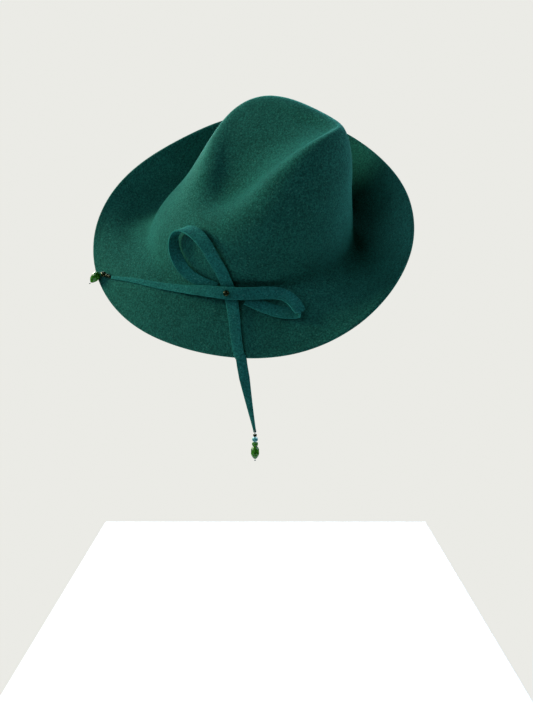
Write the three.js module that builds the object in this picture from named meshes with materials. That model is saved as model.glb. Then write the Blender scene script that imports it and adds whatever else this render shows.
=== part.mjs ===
// A green felt hat with a creased crown, a turned-up brim and a beaded strip bow.
// Millimetres, +Z up. The origin is the centre of the head opening. The wearer faces -Y and the
// wearer's left is +X. The hat is worn tilted: it leans over the left ear by hatTilt degrees.
import * as THREE from "three";

// ---- driving dimensions ----
const headLength = 194;                 // head opening, front to back
const headWidth = 160;                  // head opening, side to side
const hatTilt = 41;
// Brim width, and slope above the opening in degrees, every 45 degrees round the hat:
// left, left back, back, right back, right, right front, front, left front.
const brimWidths = [52.5, 58, 60, 65, 67.5, 50.5, 53, 54.5];
const brimSlopes = [-34, 12, 49, 58, 60, 52, -6, -40];
const brimCurl = 2;                     // how late the brim turns up: 1 is straight
const feltThickness = 2;
const wireDiameter = 1;
const wireRoom = 1.5;                   // height of the channel round the brim wire
const hemLevel = 0.36;                  // how far in the hem reaches, in ring levels
const stripWidth = 10.5;
const stripThickness = 1.5;
const tailEndWidth = 2.5;               // both tails taper to this
const threadRadius = 0.25;
const seamRadius = 0.3;
const boreRadius = 0.55;
const gap = 0.3;

const angleSteps = 60;
const edgeHeight = 2 * feltThickness + wireRoom;
const halfEdge = edgeHeight / 2;
const edgeLevelWidth = 25;              // one ring level near the brim edge
const wireLevel = halfEdge / edgeLevelWidth;

// ---- the felt surface ----
// Rings run from the brim edge to the crease on top. A crown ring has its reach from the hat's middle,
// its height above the head opening every 45 degrees, and how much it narrows at the back and front.
const brimShares = [1, 0.55, 0.22];
const crownRings = [
  { reach: { left: 80, right: 80, front: 97, back: 97 }, heights: [4, 4, 4, 4, 4, 4, 4, 4] },
  { reach: { left: 77, right: 77, front: 91, back: 93.5 }, heights: [15, 15, 15, 15, 15, 14, 13, 14] },
  {
    reach: { left: 68, right: 70.5, front: 67, back: 87.5 },
    heights: [50, 53, 55, 59, 58, 47, 38, 40], backTaper: 0.05,
  },
  {
    reach: { left: 49, right: 65, front: 45, back: 80.5 },
    heights: [78, 94, 95, 96, 95.5, 81, 60, 55], backTaper: 0.23, frontTaper: 0.1,
  },
  {
    reach: { left: 37, right: 58, front: 36, back: 73 },
    heights: [86, 106, 107, 105, 104, 90, 67, 57], backTaper: 0.42, frontTaper: 0.2,
  },
  {
    reach: { left: 18, right: 36, front: 22, back: 57 },
    heights: [81, 97, 99, 97, 96, 85, 69, 61], backTaper: 0.42, frontTaper: 0.2,
  },
  { reach: { left: 0, right: 0, front: 6, back: 41 }, heights: [82, 91, 94, 91, 82, 74, 71, 74] },
];
const ringCount = brimShares.length + crownRings.length;
const topLevel = ringCount - 1;

// A smooth value round the hat from its values every 45 degrees.
function everyEighth(values, angle) {
  return values.reduce((total, value, index) => {
    const turn = angle - index * Math.PI / 4;
    const waves = 2 * (Math.cos(turn) + Math.cos(2 * turn) + Math.cos(3 * turn)) + Math.cos(4 * turn);
    return total + value * (1 + waves) / 8;
  }, 0);
}

function brimPoint(angle, share) {
  const c = Math.cos(angle);
  const s = Math.sin(angle);
  const outward = new THREE.Vector2(c / (headWidth / 2), s / (headLength / 2)).normalize();
  const width = everyEighth(brimWidths, angle);
  const slope = THREE.MathUtils.degToRad(everyEighth(brimSlopes, angle));
  const out = width * share * Math.cos(slope);
  const up = width * Math.sin(slope) * share ** brimCurl;
  return new THREE.Vector3(headWidth / 2 * c + out * outward.x, headLength / 2 * s + out * outward.y, up);
}

function crownPoint(angle, { reach, heights, backTaper = 0, frontTaper = 0 }) {
  const c = Math.cos(angle);
  const s = Math.sin(angle);
  const narrowing = (1 - backTaper * s) * (1 - frontTaper * ((1 - s) / 2) ** 3);
  const x = (c >= 0 ? reach.left : reach.right) * c * narrowing;
  const y = (reach.back - reach.front) / 2 + (reach.back + reach.front) / 2 * s;
  return new THREE.Vector3(x, y, everyEighth(heights, angle));
}

function ringPoint(index, angle) {
  if (index < brimShares.length) return brimPoint(angle, brimShares[index]);
  return crownPoint(angle, crownRings[index - brimShares.length]);
}

// Ring positions along the felt: the mean distance from each ring to the next.
function ringKnots() {
  const knots = [0];
  for (let ring = 1; ring < ringCount; ring += 1) {
    let total = 0;
    for (let step = 0; step < angleSteps; step += 1) {
      const angle = 2 * Math.PI * step / angleSteps;
      total += ringPoint(ring, angle).distanceTo(ringPoint(ring - 1, angle));
    }
    knots.push(knots[ring - 1] + total / angleSteps);
  }
  return knots;
}

// Second derivatives at the knots of the natural cubic spline that is 1 at one knot, 0 at the rest.
function splineBends(knots, one) {
  const value = knots.map((_, index) => (index === one ? 1 : 0));
  const upper = [0];
  const bend = [0];
  for (let i = 1; i < knots.length - 1; i += 1) {
    const before = knots[i] - knots[i - 1];
    const after = knots[i + 1] - knots[i];
    const pivot = 2 * (before + after) - before * upper[i - 1];
    const turn = 6 * ((value[i + 1] - value[i]) / after - (value[i] - value[i - 1]) / before);
    upper.push(after / pivot);
    bend.push((turn - before * bend[i - 1]) / pivot);
  }
  bend.push(0);
  for (let i = knots.length - 2; i > 0; i -= 1) bend[i] -= upper[i] * bend[i + 1];
  return bend;
}

const knots = ringKnots();
const bends = knots.map((_, ring) => splineBends(knots, ring));
const tiltTurn = new THREE.Quaternion().setFromAxisAngle(
  new THREE.Vector3(0, 1, 0), THREE.MathUtils.degToRad(hatTilt));
const hatUp = new THREE.Vector3(0, 0, 1).applyQuaternion(tiltTurn);

// A point of the felt's outer face. Level 0 is the brim edge and each ring is one level further in.
function feltFace(level, angle) {
  const low = Math.min(Math.max(Math.floor(level), 0), ringCount - 2);
  const span = knots[low + 1] - knots[low];
  const b = level - low;
  const a = 1 - b;
  const point = new THREE.Vector3();
  for (let ring = 0; ring < ringCount; ring += 1) {
    let weight = ((a ** 3 - a) * bends[ring][low] + (b ** 3 - b) * bends[ring][low + 1]) * span * span / 6;
    if (ring === low) weight += a;
    if (ring === low + 1) weight += b;
    point.addScaledVector(ringPoint(ring, angle), weight);
  }
  return point.applyQuaternion(tiltTurn);
}

function feltNormal(level, angle) {
  if (level >= topLevel) return hatUp.clone();
  const small = 0.01;
  const along = feltFace(level, angle + small).sub(feltFace(level, angle - small));
  const inward = feltFace(level + small, angle).sub(feltFace(level - small, angle));
  return along.cross(inward).normalize();
}

// A point at a depth below the felt's outer face; a negative depth is above it.
function feltPoint(level, angle, depth) {
  return feltFace(level, angle).addScaledVector(feltNormal(level, angle), -depth);
}

// The level and angle of the felt point on the left side that has the given y and z.
function feltPlace(y, z) {
  let best = { level: 0, angle: 0, miss: Infinity };
  for (let level = 0; level <= 7; level += 0.5) {
    for (let degrees = -95; degrees <= 60; degrees += 5) {
      const angle = THREE.MathUtils.degToRad(degrees);
      const point = feltFace(level, angle);
      const miss = Math.hypot(point.y - y, point.z - z);
      if (point.x > 0 && miss < best.miss) best = { level, angle, miss };
    }
  }
  let { level, angle } = best;
  const small = 0.01;
  for (let round = 0; round < 12; round += 1) {
    const here = feltFace(level, angle);
    const byLevel = feltFace(level + small, angle).sub(here).divideScalar(small);
    const byAngle = feltFace(level, angle + small).sub(here).divideScalar(small);
    const missY = y - here.y;
    const missZ = z - here.z;
    const area = byLevel.y * byAngle.z - byLevel.z * byAngle.y;
    level += THREE.MathUtils.clamp((missY * byAngle.z - missZ * byAngle.y) / area, -0.3, 0.3);
    angle += THREE.MathUtils.clamp((byLevel.y * missZ - byLevel.z * missY) / area, -0.1, 0.1);
  }
  return { level, angle };
}

// ---- solids ----
// A closed solid swept through sections of equal length. A closed outline's last point joins its
// first. An open path is capped at both ends, where point i faces point n - 1 - i.
function sweepSolid(sections, { closedPath, closedOutline }) {
  const count = sections[0].length;
  const positions = sections.flat().flatMap((point) => [point.x, point.y, point.z]);
  const faces = [];
  const quad = (a, b, c, d) => faces.push(a, b, c, a, c, d);
  const lastSection = closedPath ? sections.length : sections.length - 1;
  const lastPoint = closedOutline ? count : count - 1;
  for (let i = 0; i < lastSection; i += 1) {
    const here = i * count;
    const next = ((i + 1) % sections.length) * count;
    for (let j = 0; j < lastPoint; j += 1) {
      const k = (j + 1) % count;
      quad(here + j, next + j, next + k, here + k);
    }
  }
  if (!closedPath) {
    const end = (sections.length - 1) * count;
    for (let j = 0; j < count / 2 - 1; j += 1) {
      quad(j, j + 1, count - 2 - j, count - 1 - j);
      quad(end + count - 1 - j, end + count - 2 - j, end + j + 1, end + j);
    }
  }
  const geometry = new THREE.BufferGeometry();
  geometry.setAttribute("position", new THREE.Float32BufferAttribute(positions, 3));
  geometry.setIndex(volume(positions, faces) < 0 ? faces.toReversed() : faces);
  return geometry;
}

function volume(positions, faces) {
  const corner = (index) => new THREE.Vector3().fromArray(positions, 3 * index);
  let total = 0;
  for (let i = 0; i < faces.length; i += 3) {
    total += corner(faces[i]).dot(corner(faces[i + 1]).cross(corner(faces[i + 2])));
  }
  return total / 6;
}

function angles(steps) {
  return Array.from({ length: steps }, (_, step) => 2 * Math.PI * step / steps);
}

// The cross-section of the felt as pairs of level and depth, from the crease's outer face, over the
// rounded brim edge and the hem, back to the crease's inner face.
function feltOutline() {
  const outer = [9, 8.6, 8, 7.6, 7.3, 7, 6.7, 6.4, 6, 5.5, 5, 4.5, 4, 3.5, 3, 2.6, 2, 1.4, 0.8, 0.35]
    .map((level) => [level, 0]);
  const nose = [0, 30, 60, 90, 120, 150, 180].map((degrees) => {
    const turn = THREE.MathUtils.degToRad(degrees);
    return [wireLevel * (1 - Math.sin(turn)), halfEdge * (1 - Math.cos(turn))];
  });
  const hemTop = feltThickness + gap;
  const hem = [[hemLevel, hemTop + feltThickness], [hemLevel, hemTop]];
  const channelWall = 0.7;              // how near the channel's outer wall is to the edge
  const channelCorners = [[1, 1], [channelWall, 0.5], [channelWall, -0.5], [1, -1]];
  const channel = channelCorners.map(([share, rise]) => [wireLevel * share, halfEdge + wireRoom / 2 * rise]);
  const inner = outer.toReversed().map(([level]) => [level, feltThickness]);
  const channelMouth = [2 * wireLevel, hemTop + 0.1];
  return [...outer, ...nose, ...hem, channelMouth, ...channel, ...inner];
}

function feltBody() {
  const outline = feltOutline();
  const sections = angles(angleSteps).map((angle) => (
    outline.map(([level, depth]) => feltPoint(level, angle, depth))));
  return sweepSolid(sections, { closedPath: true, closedOutline: false });
}

// A thin round ring that follows the felt at one level and depth.
function feltRing(level, depth, radius) {
  const centres = angles(angleSteps).map((angle) => feltPoint(level, angle, depth));
  return sweepSolid(tubeSections(centres, radius, 6, true), { closedPath: true, closedOutline: true });
}

// Round sections along a line of centres, all turned from one reference direction.
function tubeSections(centres, radius, sides, closed) {
  return centres.map((centre, index) => {
    const last = centres.length - 1;
    const before = centres[closed ? (index + last) % centres.length : Math.max(index - 1, 0)];
    const after = centres[closed ? (index + 1) % centres.length : Math.min(index + 1, last)];
    const along = after.clone().sub(before).normalize();
    const reference = Math.abs(along.dot(hatUp)) > 0.8 ? new THREE.Vector3(1, 0, 0) : hatUp;
    const side = along.clone().cross(reference).normalize();
    const other = along.clone().cross(side);
    return angles(sides).map((turn) => centre.clone()
      .addScaledVector(side, radius * Math.cos(turn))
      .addScaledVector(other, radius * Math.sin(turn)));
  });
}

function sweatband() {
  const levels = [3.15, 3.5, 4, 4.5];
  const bandThickness = 0.8;
  const backAngle = Math.PI / 2;        // the ends overlap at the back
  const overlapSteps = 2;
  const sections = Array.from({ length: angleSteps + overlapSteps + 1 }, (_, step) => {
    const turn = 2 * Math.PI * step / angleSteps;
    const climb = THREE.MathUtils.smoothstep(turn, 1.6 * Math.PI, 2 * Math.PI) * (bandThickness + gap);
    const depth = feltThickness + 2 * gap + climb;
    const outer = levels.map((level) => feltPoint(level, backAngle + turn, depth));
    const innerDepth = depth + bandThickness;
    const inner = levels.toReversed().map((level) => feltPoint(level, backAngle + turn, innerDepth));
    return [...outer, ...inner];
  });
  return sweepSolid(sections, { closedPath: false, closedOutline: true });
}

// ---- the bow ----
// Route points of the strips: y and z of the felt below, height above the felt, and either how far
// the strip is tipped from lying flat (degrees) or which way its width runs over the felt.
const stripLift = 1.7;                  // a strip's middle above the felt where it lies on it
const knotPlace = { y: -17.5, z: -49, lift: 7.3 };
const frontRoute = [
  { y: -124.8, z: -38, lift: stripLift },
  { y: -102, z: -40.5, lift: stripLift },
  { y: -77, z: -44.5, lift: 1.9 },
  { y: -53, z: -47.5, lift: 3.4 },
  { y: -36, z: -48.5, lift: 6 },
  knotPlace,
  { y: 0, z: -48, lift: 7.2 },
  { y: 15, z: -49.5, lift: 7 },
  { y: 27, z: -53, lift: 7, across: [0, -0.4, -1] },
  { y: 35.5, z: -58.5, lift: 7, across: [0, -0.5, -1] },
  { y: 41, z: -64.5, lift: 6.2, across: [0, -0.42, -1] },
  { y: 42.5, z: -66.5, lift: 4.4, across: [0, -0.35, -1] },
  { y: 38.5, z: -66.5, lift: 2.8, across: [0, -0.2, -1] },
  { y: 27, z: -65.5, lift: 2.3, across: [0, 0.1, -1] },
  { y: 12, z: -61, lift: 2.1, across: [0, 0.35, -1] },
  { y: -2, z: -54.8, lift: 2.9, across: [0, 0.4, -1] },
];
const backRoute = [
  { y: -27, z: -45, lift: 2.3 },
  { y: -41, z: -38, lift: 2.5, tip: 5 },
  { y: -51, z: -29.5, lift: 4.2, tip: 22 },
  { y: -56, z: -20.5, lift: 5.6, tip: 48 },
  { y: -58.5, z: -11, lift: 6.6, tip: 76 },
  { y: -57, z: -3, lift: 7.2, tip: 105 },
  { y: -49.5, z: 1, lift: 7.4, tip: 128 },
  { y: -41, z: -1, lift: 6.8, tip: 148 },
  { y: -33, z: -8, lift: 5.8, tip: 160 },
  { y: -26.5, z: -19, lift: 4.8, tip: 170 },
  { y: -20.5, z: -31, lift: 3.8, tip: 176 },
  { y: -17, z: -42, lift: 3.4, tip: 180 },
  { y: -15, z: -52, lift: 3.9, tip: 180 },
  { y: -13.5, z: -61, lift: 2.8, tip: 180 },
  { y: -12, z: -71, lift: 1.9, tip: 180 },
  { y: -10.5, z: -84, lift: stripLift, tip: 180 },
  { y: -8, z: -99.6, lift: 1.9, tip: 180 },
];

// Positions and width directions of a strip along its route, one every few millimetres.
function stripPath(route) {
  const places = route.map(({ y, z, lift }) => {
    const { level, angle } = feltPlace(y, z);
    return { point: feltPoint(level, angle, -lift), normal: feltNormal(level, angle) };
  });
  const curve = new THREE.CatmullRomCurve3(places.map(({ point }) => point));
  const widths = route.map(({ tip = 0, across }, index) => {
    if (across) return new THREE.Vector3(...across).projectOnPlane(places[index].normal).normalize();
    const along = curve.getTangent(index / (route.length - 1));
    const flat = along.clone().cross(places[index].normal).normalize();
    return flat.applyAxisAngle(along, THREE.MathUtils.degToRad(tip));
  });
  return { curve, widthCurve: new THREE.CatmullRomCurve3(widths) };
}

// Four corners for each step, with the strip's width square to its run.
function stripSections({ curve, widthCurve }, steps, widthAt) {
  return Array.from({ length: steps + 1 }, (_, step) => {
    const share = step / steps;
    const along = curve.getTangent(share);
    const face = along.clone().cross(widthCurve.getPoint(share)).normalize();
    const side = face.clone().cross(along);
    return stripCorners(curve.getPoint(share), side, face, widthAt(share) / 2);
  });
}

function stripCorners(centre, side, face, halfWidth) {
  return [[1, 1], [1, -1], [-1, -1], [-1, 1]].map(([across, out]) => centre.clone()
    .addScaledVector(side, across * halfWidth)
    .addScaledVector(face, out * stripThickness / 2));
}

// The left tail narrows over its first part to the full width near the knot.
function frontStrip() {
  const taperEnd = 0.33;
  const widthAt = (share) => THREE.MathUtils.lerp(tailEndWidth, stripWidth, Math.min(share / taperEnd, 1));
  const sections = stripSections(stripPath(frontRoute), 70, widthAt);
  return sweepSolid(sections, { closedPath: false, closedOutline: true });
}

// The back strip keeps its width round the loop and narrows a little down the brim.
function backStrip() {
  const taperStart = 0.75;
  const widthAt = (share) => THREE.MathUtils.lerp(
    stripWidth, edgeStripWidth, Math.max((share - taperStart) / (1 - taperStart), 0));
  const sections = stripSections(stripPath(backRoute), 80, widthAt);
  return sweepSolid(sections, { closedPath: false, closedOutline: true });
}

// ---- the hanging end ----
const edgeStripWidth = 9;
const tailTop = new THREE.Vector3(74.4, -7, -102);
const tailEnd = new THREE.Vector3(74.4, 4.6, -167.2);

function hangingTail() {
  const steps = 24;
  const bow = 0.3;                      // sideways bow of the tail between its ends
  const [taperStart, taperEnd] = [0.27, 0.95];
  const twist = THREE.MathUtils.degToRad(20);
  const sections = Array.from({ length: steps + 1 }, (_, step) => {
    const share = step / steps;
    const centre = tailTop.clone().lerp(tailEnd, share);
    centre.y -= bow * Math.sin(Math.PI * share);
    const turn = twist * THREE.MathUtils.smoothstep(share, 0.2, 1);
    const side = new THREE.Vector3(Math.sin(turn), Math.cos(turn), 0.15).normalize();
    const face = new THREE.Vector3(Math.cos(turn), -Math.sin(turn), 0);
    const taper = THREE.MathUtils.clamp((share - taperStart) / (taperEnd - taperStart), 0, 1);
    const halfWidth = THREE.MathUtils.lerp(edgeStripWidth, tailEndWidth, taper) / 2;
    return stripCorners(centre, side, face, halfWidth);
  });
  return sweepSolid(sections, { closedPath: false, closedOutline: true });
}

// ---- beads ----
// A bead turned from its outer outline of [radius, height] pairs, bored along its axis.
function boredBead(outline, sides) {
  const top = outline[0][1];
  const bottom = outline[outline.length - 1][1];
  const closed = [...outline, [boreRadius, bottom], [boreRadius, top], outline[0]];
  const points = closed.map(([radius, height]) => new THREE.Vector2(radius, height));
  return new THREE.LatheGeometry(points.toReversed(), sides);
}

function roundBead(radius, height) {
  const outline = [90, 55, 25, 0, -25, -55, -90].map((degrees) => {
    const turn = THREE.MathUtils.degToRad(degrees);
    const inner = boreRadius + 0.3;
    return [inner + (radius - inner) * Math.cos(turn), height / 2 * Math.sin(turn)];
  });
  return boredBead(outline, 16);
}

function rondelle(radius, height) {
  const table = 0.55 * radius;
  return boredBead([
    [table, height / 2], [radius, 0.12 * height], [radius, -0.12 * height], [table, -height / 2],
  ], 10);
}

function drop(radius, length) {
  return boredBead([
    [0.4 * radius, length / 2], [0.75 * radius, 0.25 * length], [radius, -0.05 * length],
    [0.8 * radius, -0.25 * length], [boreRadius + 0.35, -length / 2],
  ], 8);
}

// A thread along two or more points.
function thread(points) {
  return sweepSolid(tubeSections(points, threadRadius, 8, false), { closedPath: false, closedOutline: true });
}

// ---- assembly ----
const hat = new THREE.Group();

function addMesh(name, geometry, color, roughness, parent = hat) {
  const mesh = new THREE.Mesh(geometry, new THREE.MeshStandardMaterial({ color, roughness, metalness: 0 }));
  mesh.name = name;
  parent.add(mesh);
  return mesh;
}

const feltGreen = 0x14463a;
const stripGreen = 0x195f55;
const bandGreen = 0x10332b;
const threadGreen = 0x0d2a24;
const darkGlass = 0x1d2414;
const turquoise = 0x3fa39a;
const greenGlass = 0x2f7a22;
const wireGrey = 0x8a8a86;

addMesh("felt_body", feltBody(), feltGreen, 0.95);
addMesh("brim_wire", feltRing(wireLevel, halfEdge, wireDiameter / 2), wireGrey, 0.5);
addMesh("hem_stitching", feltRing(hemLevel + 0.03, feltThickness + 0.7, seamRadius), threadGreen, 0.8);
addMesh("sweatband", sweatband(), bandGreen, 0.85);
addMesh("sweatband_stitching", feltRing(3.02, feltThickness + 0.8, seamRadius), threadGreen, 0.8);
addMesh("bow_front_strip", frontStrip(), stripGreen, 0.9);
addMesh("bow_back_strip", backStrip(), stripGreen, 0.9);
addMesh("hanging_tail", hangingTail(), stripGreen, 0.9);

// Beads in a straight line from a start point, each one gap past the last. Returns the line's end.
function beadLine(prefix, start, direction, beads, lead) {
  const line = new THREE.Group();
  line.position.copy(start);
  line.quaternion.setFromUnitVectors(new THREE.Vector3(0, -1, 0), direction);
  hat.add(line);
  let reached = lead;
  for (const { name, geometry, height, color } of beads) {
    addMesh(`${prefix}_${name}`, geometry, color, 0.15, line).position.y = -(reached + height / 2);
    reached += height + gap;
  }
  return start.clone().addScaledVector(direction, reached);
}

function addEndKnot(prefix, threadEnd, direction) {
  const radius = 0.8;
  addMesh(`${prefix}_end_knot`, new THREE.SphereGeometry(radius, 10, 8), threadGreen, 0.7)
    .position.copy(threadEnd).addScaledVector(direction, radius + gap);
}

const seedBead = { geometry: roundBead(1.6, 2.8), height: 2.8, color: darkGlass };
const glassDrop = { name: "drop", geometry: drop(3.7, 11.4), height: 11.4, color: greenGlass };
const down = new THREE.Vector3(0, 0, -1);
const hangingEnd = beadLine("hanging", tailEnd, down, [
  { ...seedBead, name: "seed_bead" },
  { name: "round_bead", geometry: roundBead(2.5, 4.1), height: 4.1, color: turquoise },
  { name: "rondelle", geometry: rondelle(2.7, 3.6), height: 3.6, color: greenGlass },
  glassDrop,
], 1.3);
const hangingStart = tailEnd.clone().addScaledVector(down, gap);
const hangingMiddle = tailEnd.clone().lerp(hangingEnd, 0.5);
addMesh("hanging_thread", thread([hangingStart, hangingMiddle, hangingEnd]), threadGreen, 0.7);
addEndKnot("hanging", hangingEnd, down);

// The beads of the left tail lie on the brim, and its drop hangs over the brim edge.
function overFelt(y, z, lift) {
  const { level, angle } = feltPlace(y, z);
  return feltPoint(level, angle, -lift);
}

const brimBeadLift = 1.9;
const brimDropLift = 3.1;
const brimStart = overFelt(-125.4, -38, brimBeadLift);
const brimDirection = overFelt(-135, -35, brimDropLift).sub(brimStart).normalize();
const dropDirection = new THREE.Vector3(0, -0.66, -0.75).normalize();
const brimEnd = beadLine("brim", brimStart, brimDirection, [
  { ...seedBead, name: "seed_bead_a" },
  { ...seedBead, name: "seed_bead_b" },
  { name: "round_bead", geometry: roundBead(2.5, 4.8), height: 4.8, color: darkGlass },
], 0.8);
const dropStart = brimEnd.clone().addScaledVector(brimDirection, 3.2);
const dropEnd = beadLine("brim", dropStart, dropDirection, [glassDrop], 0.8);
addMesh("brim_thread", thread([brimStart, dropStart, dropEnd]), threadGreen, 0.7);
addEndKnot("brim", dropEnd, dropDirection);

// The centre bead is sewn down on top of the bow's crossing.
const knotBase = overFelt(knotPlace.y, knotPlace.z, knotPlace.lift + stripThickness / 2 + gap);
const knotOut = knotBase.clone().sub(overFelt(knotPlace.y, knotPlace.z, 0)).normalize();
const knotTop = beadLine("knot", knotBase, knotOut, [
  { name: "bead", geometry: roundBead(2.6, 4.4), height: 4.4, color: darkGlass },
], 0);
addMesh("knot_bead_thread", thread([knotBase, knotTop]), threadGreen, 0.7);

export default hat;
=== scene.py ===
# A green felt hat with a creased crown, a turned-up brim and a beaded strip bow.
# Metres, +Z up. The origin is the centre of the head opening. The wearer faces -Y and the wearer's
# left is +X.
import math
import random

import bmesh
import bpy
import numpy as np
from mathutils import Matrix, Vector, noise


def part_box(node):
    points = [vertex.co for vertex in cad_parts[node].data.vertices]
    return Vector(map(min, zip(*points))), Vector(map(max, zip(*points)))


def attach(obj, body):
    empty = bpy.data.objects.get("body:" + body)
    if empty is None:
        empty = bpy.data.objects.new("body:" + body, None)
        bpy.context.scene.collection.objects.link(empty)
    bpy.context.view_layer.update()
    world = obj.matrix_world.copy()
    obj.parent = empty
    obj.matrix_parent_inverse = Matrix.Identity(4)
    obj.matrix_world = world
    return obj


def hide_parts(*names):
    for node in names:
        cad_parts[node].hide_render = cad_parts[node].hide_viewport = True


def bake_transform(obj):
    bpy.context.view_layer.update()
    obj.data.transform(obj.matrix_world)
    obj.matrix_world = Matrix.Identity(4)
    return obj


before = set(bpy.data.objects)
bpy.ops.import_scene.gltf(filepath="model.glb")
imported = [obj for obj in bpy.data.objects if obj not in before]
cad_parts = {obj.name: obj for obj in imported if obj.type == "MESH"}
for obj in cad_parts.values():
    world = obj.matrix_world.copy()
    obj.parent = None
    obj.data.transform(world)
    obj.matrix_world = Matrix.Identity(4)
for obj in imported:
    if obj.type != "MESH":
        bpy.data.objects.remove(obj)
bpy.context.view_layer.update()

scene = bpy.context.scene
MM = 0.001
UP = np.array([0, 0, 1.0])


# ---- camera, stage and light ----
CAMERA_PLACE = (0.513, 0.0145, -0.019)
CAMERA_PITCH = math.radians(10.5)       # below the horizon, looking along -X
LENS = 27.04

PLINTH_TOP = -0.40
PLINTH_SIZE = 0.467
PLINTH_CENTRE = (0.0235, 0.013)

LIGHT_TARGET = (0, 0, -0.02)
LIGHT_DISTANCE = 1.3
WARM, COOL = (1.0, 0.98, 0.80), (0.85, 1.0, 1.25)
# Name, azimuth and elevation in degrees, size, power in watts, and colour.
STUDIO_LIGHTS = (
    ("window", 270, 20, 0.45, 12, WARM),
    ("window_far", 225, 20, 0.6, 9, WARM),
    ("high_window", 225, 55, 0.6, 6, COOL),
    ("wall", 180, 30, 1.0, 30, COOL),
    ("lamp", 315, 20, 1.0, 3.5, COOL),
    ("room", 90, 30, 1.0, 8, COOL),
    ("floor_bounce", 0, -60, 1.0, 3.2, COOL),
    ("back_room", 135, 40, 1.0, 3, COOL),
)


def add_camera():
    data = bpy.data.cameras.new("camera")
    data.lens = LENS
    camera = bpy.data.objects.new("camera", data)
    camera.location = CAMERA_PLACE
    camera.rotation_euler = (math.pi / 2 - CAMERA_PITCH, 0, math.pi / 2)
    scene.collection.objects.link(camera)
    scene.camera = camera


def add_area_light(name, place, target, size, power, colour):
    data = bpy.data.lights.new(name, "AREA")
    data.shape = "DISK"
    data.size = size
    data.energy = power
    data.color = colour
    light = bpy.data.objects.new(name, data)
    light.location = place
    light.rotation_euler = (Vector(target) - Vector(place)).to_track_quat("-Z", "Y").to_euler()
    scene.collection.objects.link(light)


def add_studio_lights():
    for name, azimuth, elevation, size, power, colour in STUDIO_LIGHTS:
        turn, rise = math.radians(azimuth), math.radians(elevation)
        place = (LIGHT_DISTANCE * math.cos(turn) * math.cos(rise),
                 LIGHT_DISTANCE * math.sin(turn) * math.cos(rise),
                 LIGHT_DISTANCE * math.sin(rise))
        add_area_light(name, place, LIGHT_TARGET, size, power, colour)


def add_world(seen, lighting, strength):
    """The camera sees one pale colour, and the hat is lit by another."""
    world = bpy.data.worlds.new("room")
    scene.world = world
    world.use_nodes = True
    nodes, links = world.node_tree.nodes, world.node_tree.links
    nodes.clear()
    backdrop = nodes.new("ShaderNodeBackground")
    backdrop.inputs["Color"].default_value = (*seen, 1)
    fill = nodes.new("ShaderNodeBackground")
    fill.inputs["Color"].default_value = (*lighting, 1)
    fill.inputs["Strength"].default_value = strength
    path = nodes.new("ShaderNodeLightPath")
    mix = nodes.new("ShaderNodeMixShader")
    output = nodes.new("ShaderNodeOutputWorld")
    links.new(path.outputs["Is Camera Ray"], mix.inputs[0])
    links.new(fill.outputs[0], mix.inputs[1])
    links.new(backdrop.outputs[0], mix.inputs[2])
    links.new(mix.outputs[0], output.inputs["Surface"])


def add_plinth():
    """The pale stand below the hat, with softened edges."""
    depth = 0.5
    bpy.ops.mesh.primitive_cube_add(size=1, location=(*PLINTH_CENTRE, PLINTH_TOP - depth / 2))
    plinth = bpy.context.object
    plinth.name = "plinth"
    plinth.scale = (PLINTH_SIZE, PLINTH_SIZE, depth)
    bevel = plinth.modifiers.new("edges", "BEVEL")
    bevel.width = 1.5 * MM
    bevel.segments = 3
    plinth.data.materials.append(painted_material("white_paint", (0.80, 0.80, 0.77), (0.74, 0.74, 0.71)))


# ---- materials ----
def new_material(name):
    material = bpy.data.materials.new(name)
    material.use_nodes = True
    tree = material.node_tree
    shader = tree.nodes["Principled BSDF"]
    return material, tree, shader


def object_coordinates(tree, stretch=(1, 1, 1)):
    coordinates = tree.nodes.new("ShaderNodeTexCoord")
    mapping = tree.nodes.new("ShaderNodeMapping")
    mapping.inputs["Scale"].default_value = stretch
    tree.links.new(coordinates.outputs["Object"], mapping.inputs["Vector"])
    return mapping.outputs["Vector"]


def noise_value(tree, vector, grain, detail=2.0, roughness=0.5):
    """Noise from 0 to 1 whose features are about one grain across, in metres."""
    texture = tree.nodes.new("ShaderNodeTexNoise")
    texture.inputs["Scale"].default_value = 1 / grain
    texture.inputs["Detail"].default_value = detail
    texture.inputs["Roughness"].default_value = roughness
    tree.links.new(vector, texture.inputs["Vector"])
    return texture.outputs["Fac"]


def ramp(tree, value, stops):
    """Colours by value. Stops are pairs of position and colour."""
    node = tree.nodes.new("ShaderNodeValToRGB")
    elements = node.color_ramp.elements
    while len(elements) < len(stops):
        elements.new(0.5)
    for element, (position, colour) in zip(elements, stops):
        element.position = position
        element.color = (*colour, 1)
    tree.links.new(value, node.inputs["Fac"])
    return node.outputs["Color"]


def mix_colour(tree, factor, first, second):
    node = tree.nodes.new("ShaderNodeMix")
    node.data_type = "RGBA"
    for value, name in ((factor, "Factor_Float"), (first, "A_Color"), (second, "B_Color")):
        socket = next(item for item in node.inputs if item.identifier == name)
        if isinstance(value, bpy.types.NodeSocket):
            tree.links.new(value, socket)
        else:
            socket.default_value = value if name == "Factor_Float" else (*value, 1)
    return next(item for item in node.outputs if item.identifier == "Result_Color")


def add_bump(tree, shader, height, strength, distance, before=None):
    bump = tree.nodes.new("ShaderNodeBump")
    bump.inputs["Strength"].default_value = strength
    bump.inputs["Distance"].default_value = distance
    tree.links.new(height, bump.inputs["Height"])
    if before:
        tree.links.new(before.outputs["Normal"], bump.inputs["Normal"])
    tree.links.new(bump.outputs["Normal"], shader.inputs["Normal"])
    return bump


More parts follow.
